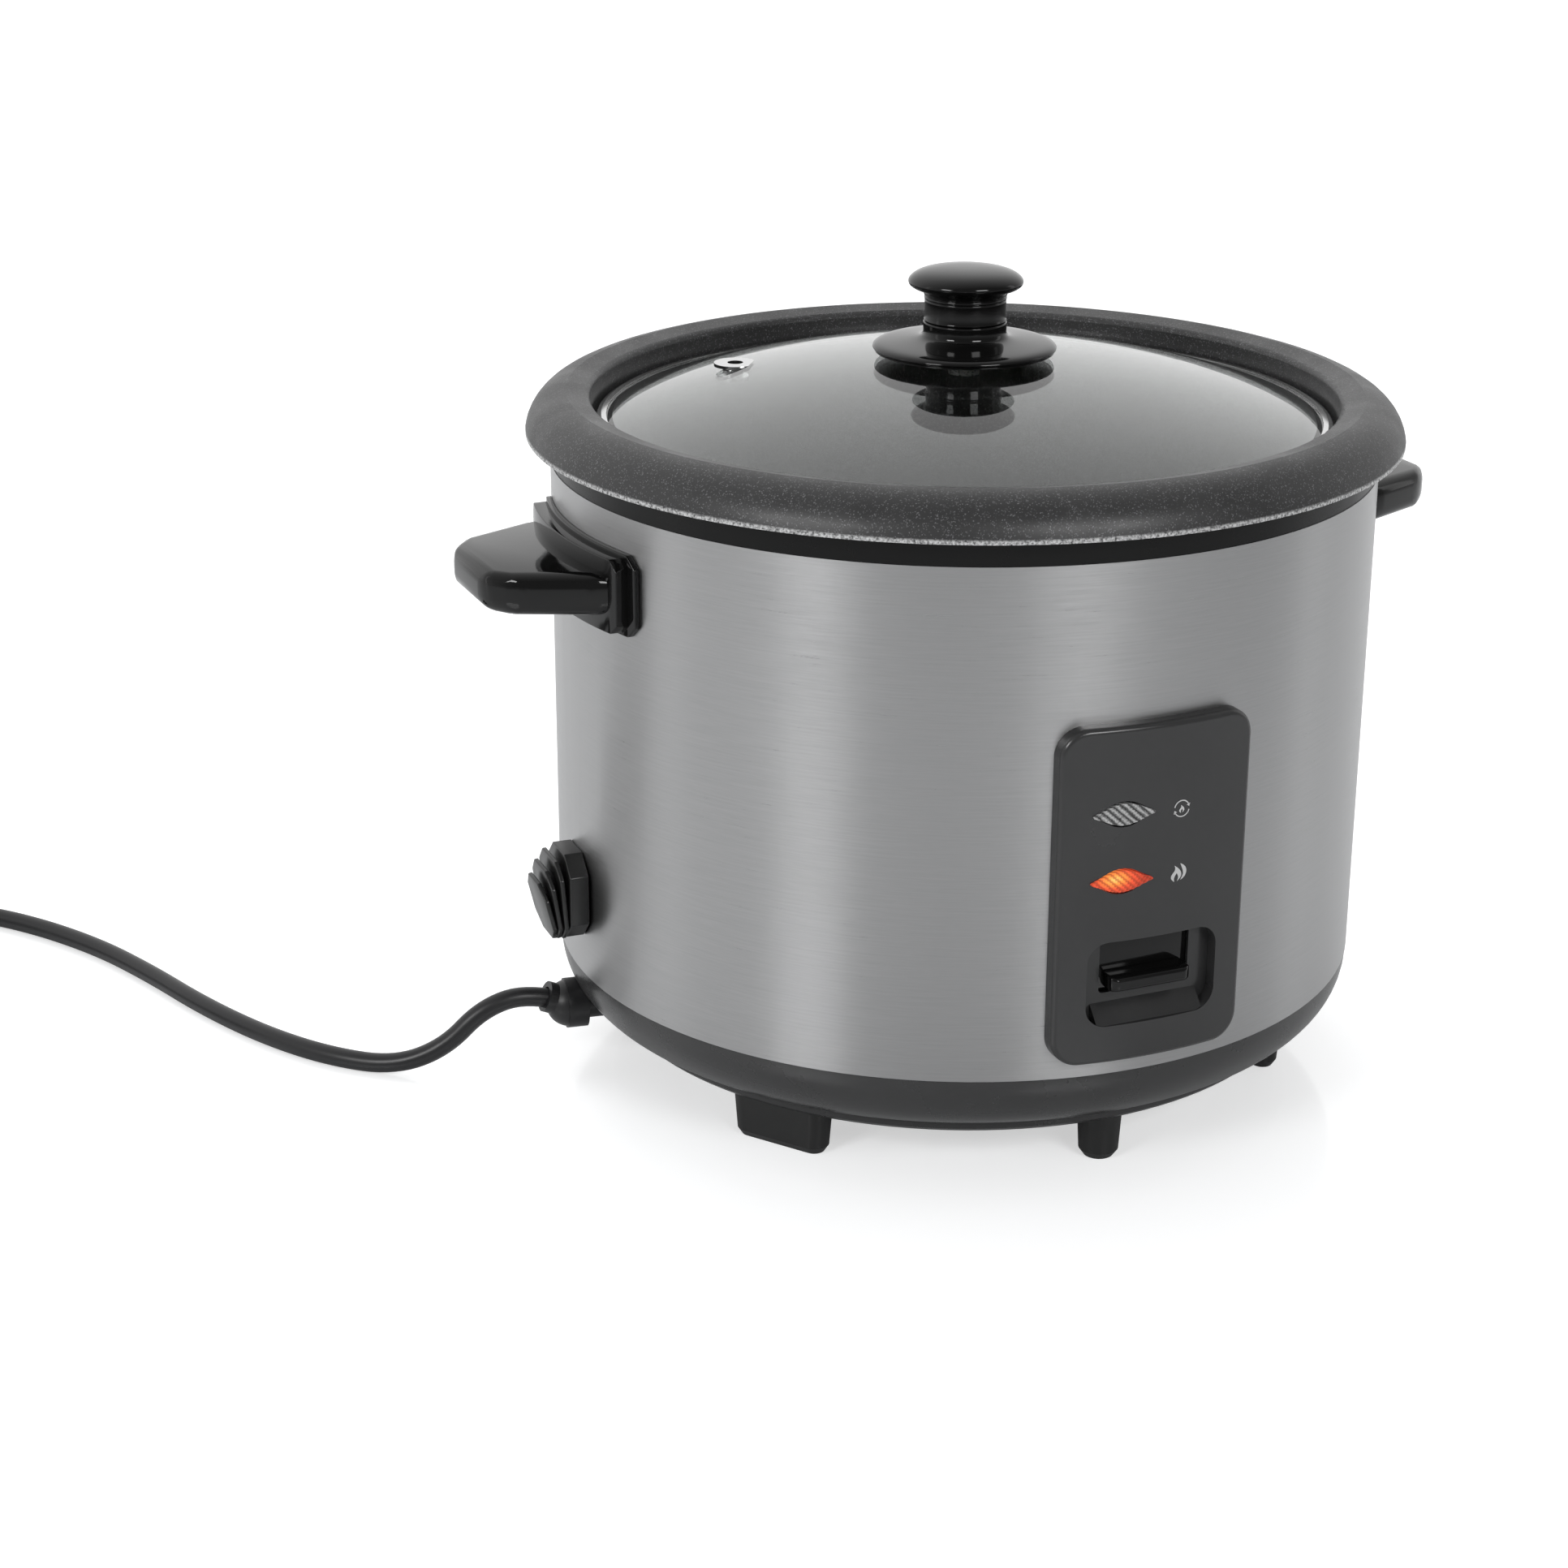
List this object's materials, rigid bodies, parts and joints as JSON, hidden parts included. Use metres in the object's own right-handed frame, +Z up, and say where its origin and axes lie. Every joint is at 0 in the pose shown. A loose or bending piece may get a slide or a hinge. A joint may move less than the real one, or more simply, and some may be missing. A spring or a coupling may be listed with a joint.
{
  "type": "rice cooker",
  "caption": "Round electric rice cooker with lift-out non-stick pot, domed glass lid, side handles, lever switch panel and mains cord",
  "frame": {"origin": "on the supporting surface, under the centre of the round body", "axes": "+Z up, -Y the control panel side (front), +X towards the right-hand handle seen from the front"},
  "size_m": [0.5096, 0.3377, 0.233],
  "materials": {
    "brushed_shell": "fine horizontal brushing",
    "black_collar": "satin",
    "liner_sheet": "plain rolled sheet",
    "base_black": "satin",
    "galvanised": "galvanised sheet",
    "foot_black": "matt",
    "screw_steel": "bright zinc",
    "cast_plate": "turned casting",
    "element_sheath": "heat darkened",
    "sensor_metal": "drawn cap",
    "magnet_iron": "sintered",
    "spring_steel": "wire",
    "gloss_black": "polished",
    "panel_black": "satin face with glossy edge",
    "switch_black": "moulded",
    "switch_red": "moulded",
    "terminal_white": "moulded",
    "fuse_case": "plain",
    "wire_white": "braided sleeve",
    "lens_clear": "ribbed",
    "lens_lit": "ribbed, lit from behind",
    "lamp_glass": "clear",
    "lamp_glow": "glowing",
    "holder_black": "matt",
    "cord_black": "smooth sheath",
    "plug_black": "moulded",
    "pin_nickel": "nickel plated",
    "pot_coating": "speckled non-stick coat",
    "lid_glass": "clear",
    "lid_steel": "polished",
    "gasket_grey": "silicone"
  },
  "bodies": {
    "cooker": {"outer_shell": "brushed_shell", "upper_collar": "black_collar", "heat_liner": "liner_sheet", "base_tray": "base_black", "chassis_plate": "galvanised", "liner_posts": "galvanised", "pivot_bracket": "galvanised", "rod_guide": "galvanised", "foot_front": "foot_black", "foot_back": "foot_black", "foot_front_left": "foot_black", "foot_front_right": "foot_black", "foot_back_left": "foot_black", "foot_back_right": "foot_black", "foot_screws": "screw_steel", "post_screws": "screw_steel", "plate_screws": "screw_steel", "terminal_screws": "screw_steel", "handle_screws": "screw_steel", "pivot_pin": "screw_steel", "heating_plate": "cast_plate", "heating_element": "element_sheath", "sensor_spring": "spring_steel", "release_spring": "spring_steel", "handle_left": "gloss_black", "handle_right": "gloss_black", "control_panel": "panel_black", "microswitch": "switch_black", "lamp_carrier": "switch_black", "terminal_block": "terminal_white", "thermal_fuse": "fuse_case", "inner_wires": "wire_white", "lens_keep_warm": "lens_clear", "lens_cook": "lens_lit", "lamp_keep_warm": "lamp_glass", "lamp_cook": "lamp_glow", "spoon_holder": "holder_black", "power_cord": "cord_black", "cord_coil": "cord_black", "cord_tail": "cord_black", "cord_gland": "cord_black", "plug_body": "plug_black", "plug_pins": "pin_nickel"},
    "pot": {"inner_pot": "pot_coating"},
    "lid": {"lid_glass": "lid_glass", "lid_band": "lid_steel", "vent_eyelet": "lid_steel", "knob_gasket": "gasket_grey", "knob_skirt": "gloss_black", "knob": "gloss_black", "knob_washer": "screw_steel", "knob_screw": "screw_steel"},
    "sensor": {"sensor_cap": "sensor_metal", "ferrite_disc": "magnet_iron"},
    "lever": {"switch_lever": "galvanised", "lever_paddle": "gloss_black"},
    "rod": {"magnet": "magnet_iron", "magnet_rod": "screw_steel"},
    "button": {"switch_button": "switch_red"}
  },
  "joints": [
    {"name": "pot_lift", "type": "slide", "parent": "cooker", "child": "pot", "axis": [0, 0, 1], "range_m": [0, 0.16]},
    {"name": "lid_lift", "type": "slide", "parent": "pot", "child": "lid", "axis": [0, 0, 1], "range_m": [0, 0.06]},
    {"name": "sensor_rise", "type": "slide", "parent": "cooker", "child": "sensor", "axis": [0, 0, 1], "range_m": [0, 0.0025], "deforming": ["sensor_spring"]},
    {"name": "lever_turn", "type": "hinge", "parent": "cooker", "child": "lever", "pos_m": [0, -0.032, 0.0335], "axis": [-1, 0, 0], "range_deg": [0, 5]},
    {"name": "rod_drop", "type": "slide", "parent": "cooker", "child": "rod", "axis": [0, 0, -1], "range_m": [0, 0.0029], "deforming": ["release_spring"]},
    {"name": "button_rise", "type": "slide", "parent": "cooker", "child": "button", "axis": [0, 0, 1], "range_m": [0, 0.0016]}
  ],
  "couplings": [
    {"joint": "sensor_rise", "follows": "pot_lift", "ratio": 0.0156},
    {"joint": "rod_drop", "follows": "lever_turn", "m_per_rad": 0.0321},
    {"joint": "button_rise", "follows": "lever_turn", "m_per_rad": 0.0175}
  ]
}
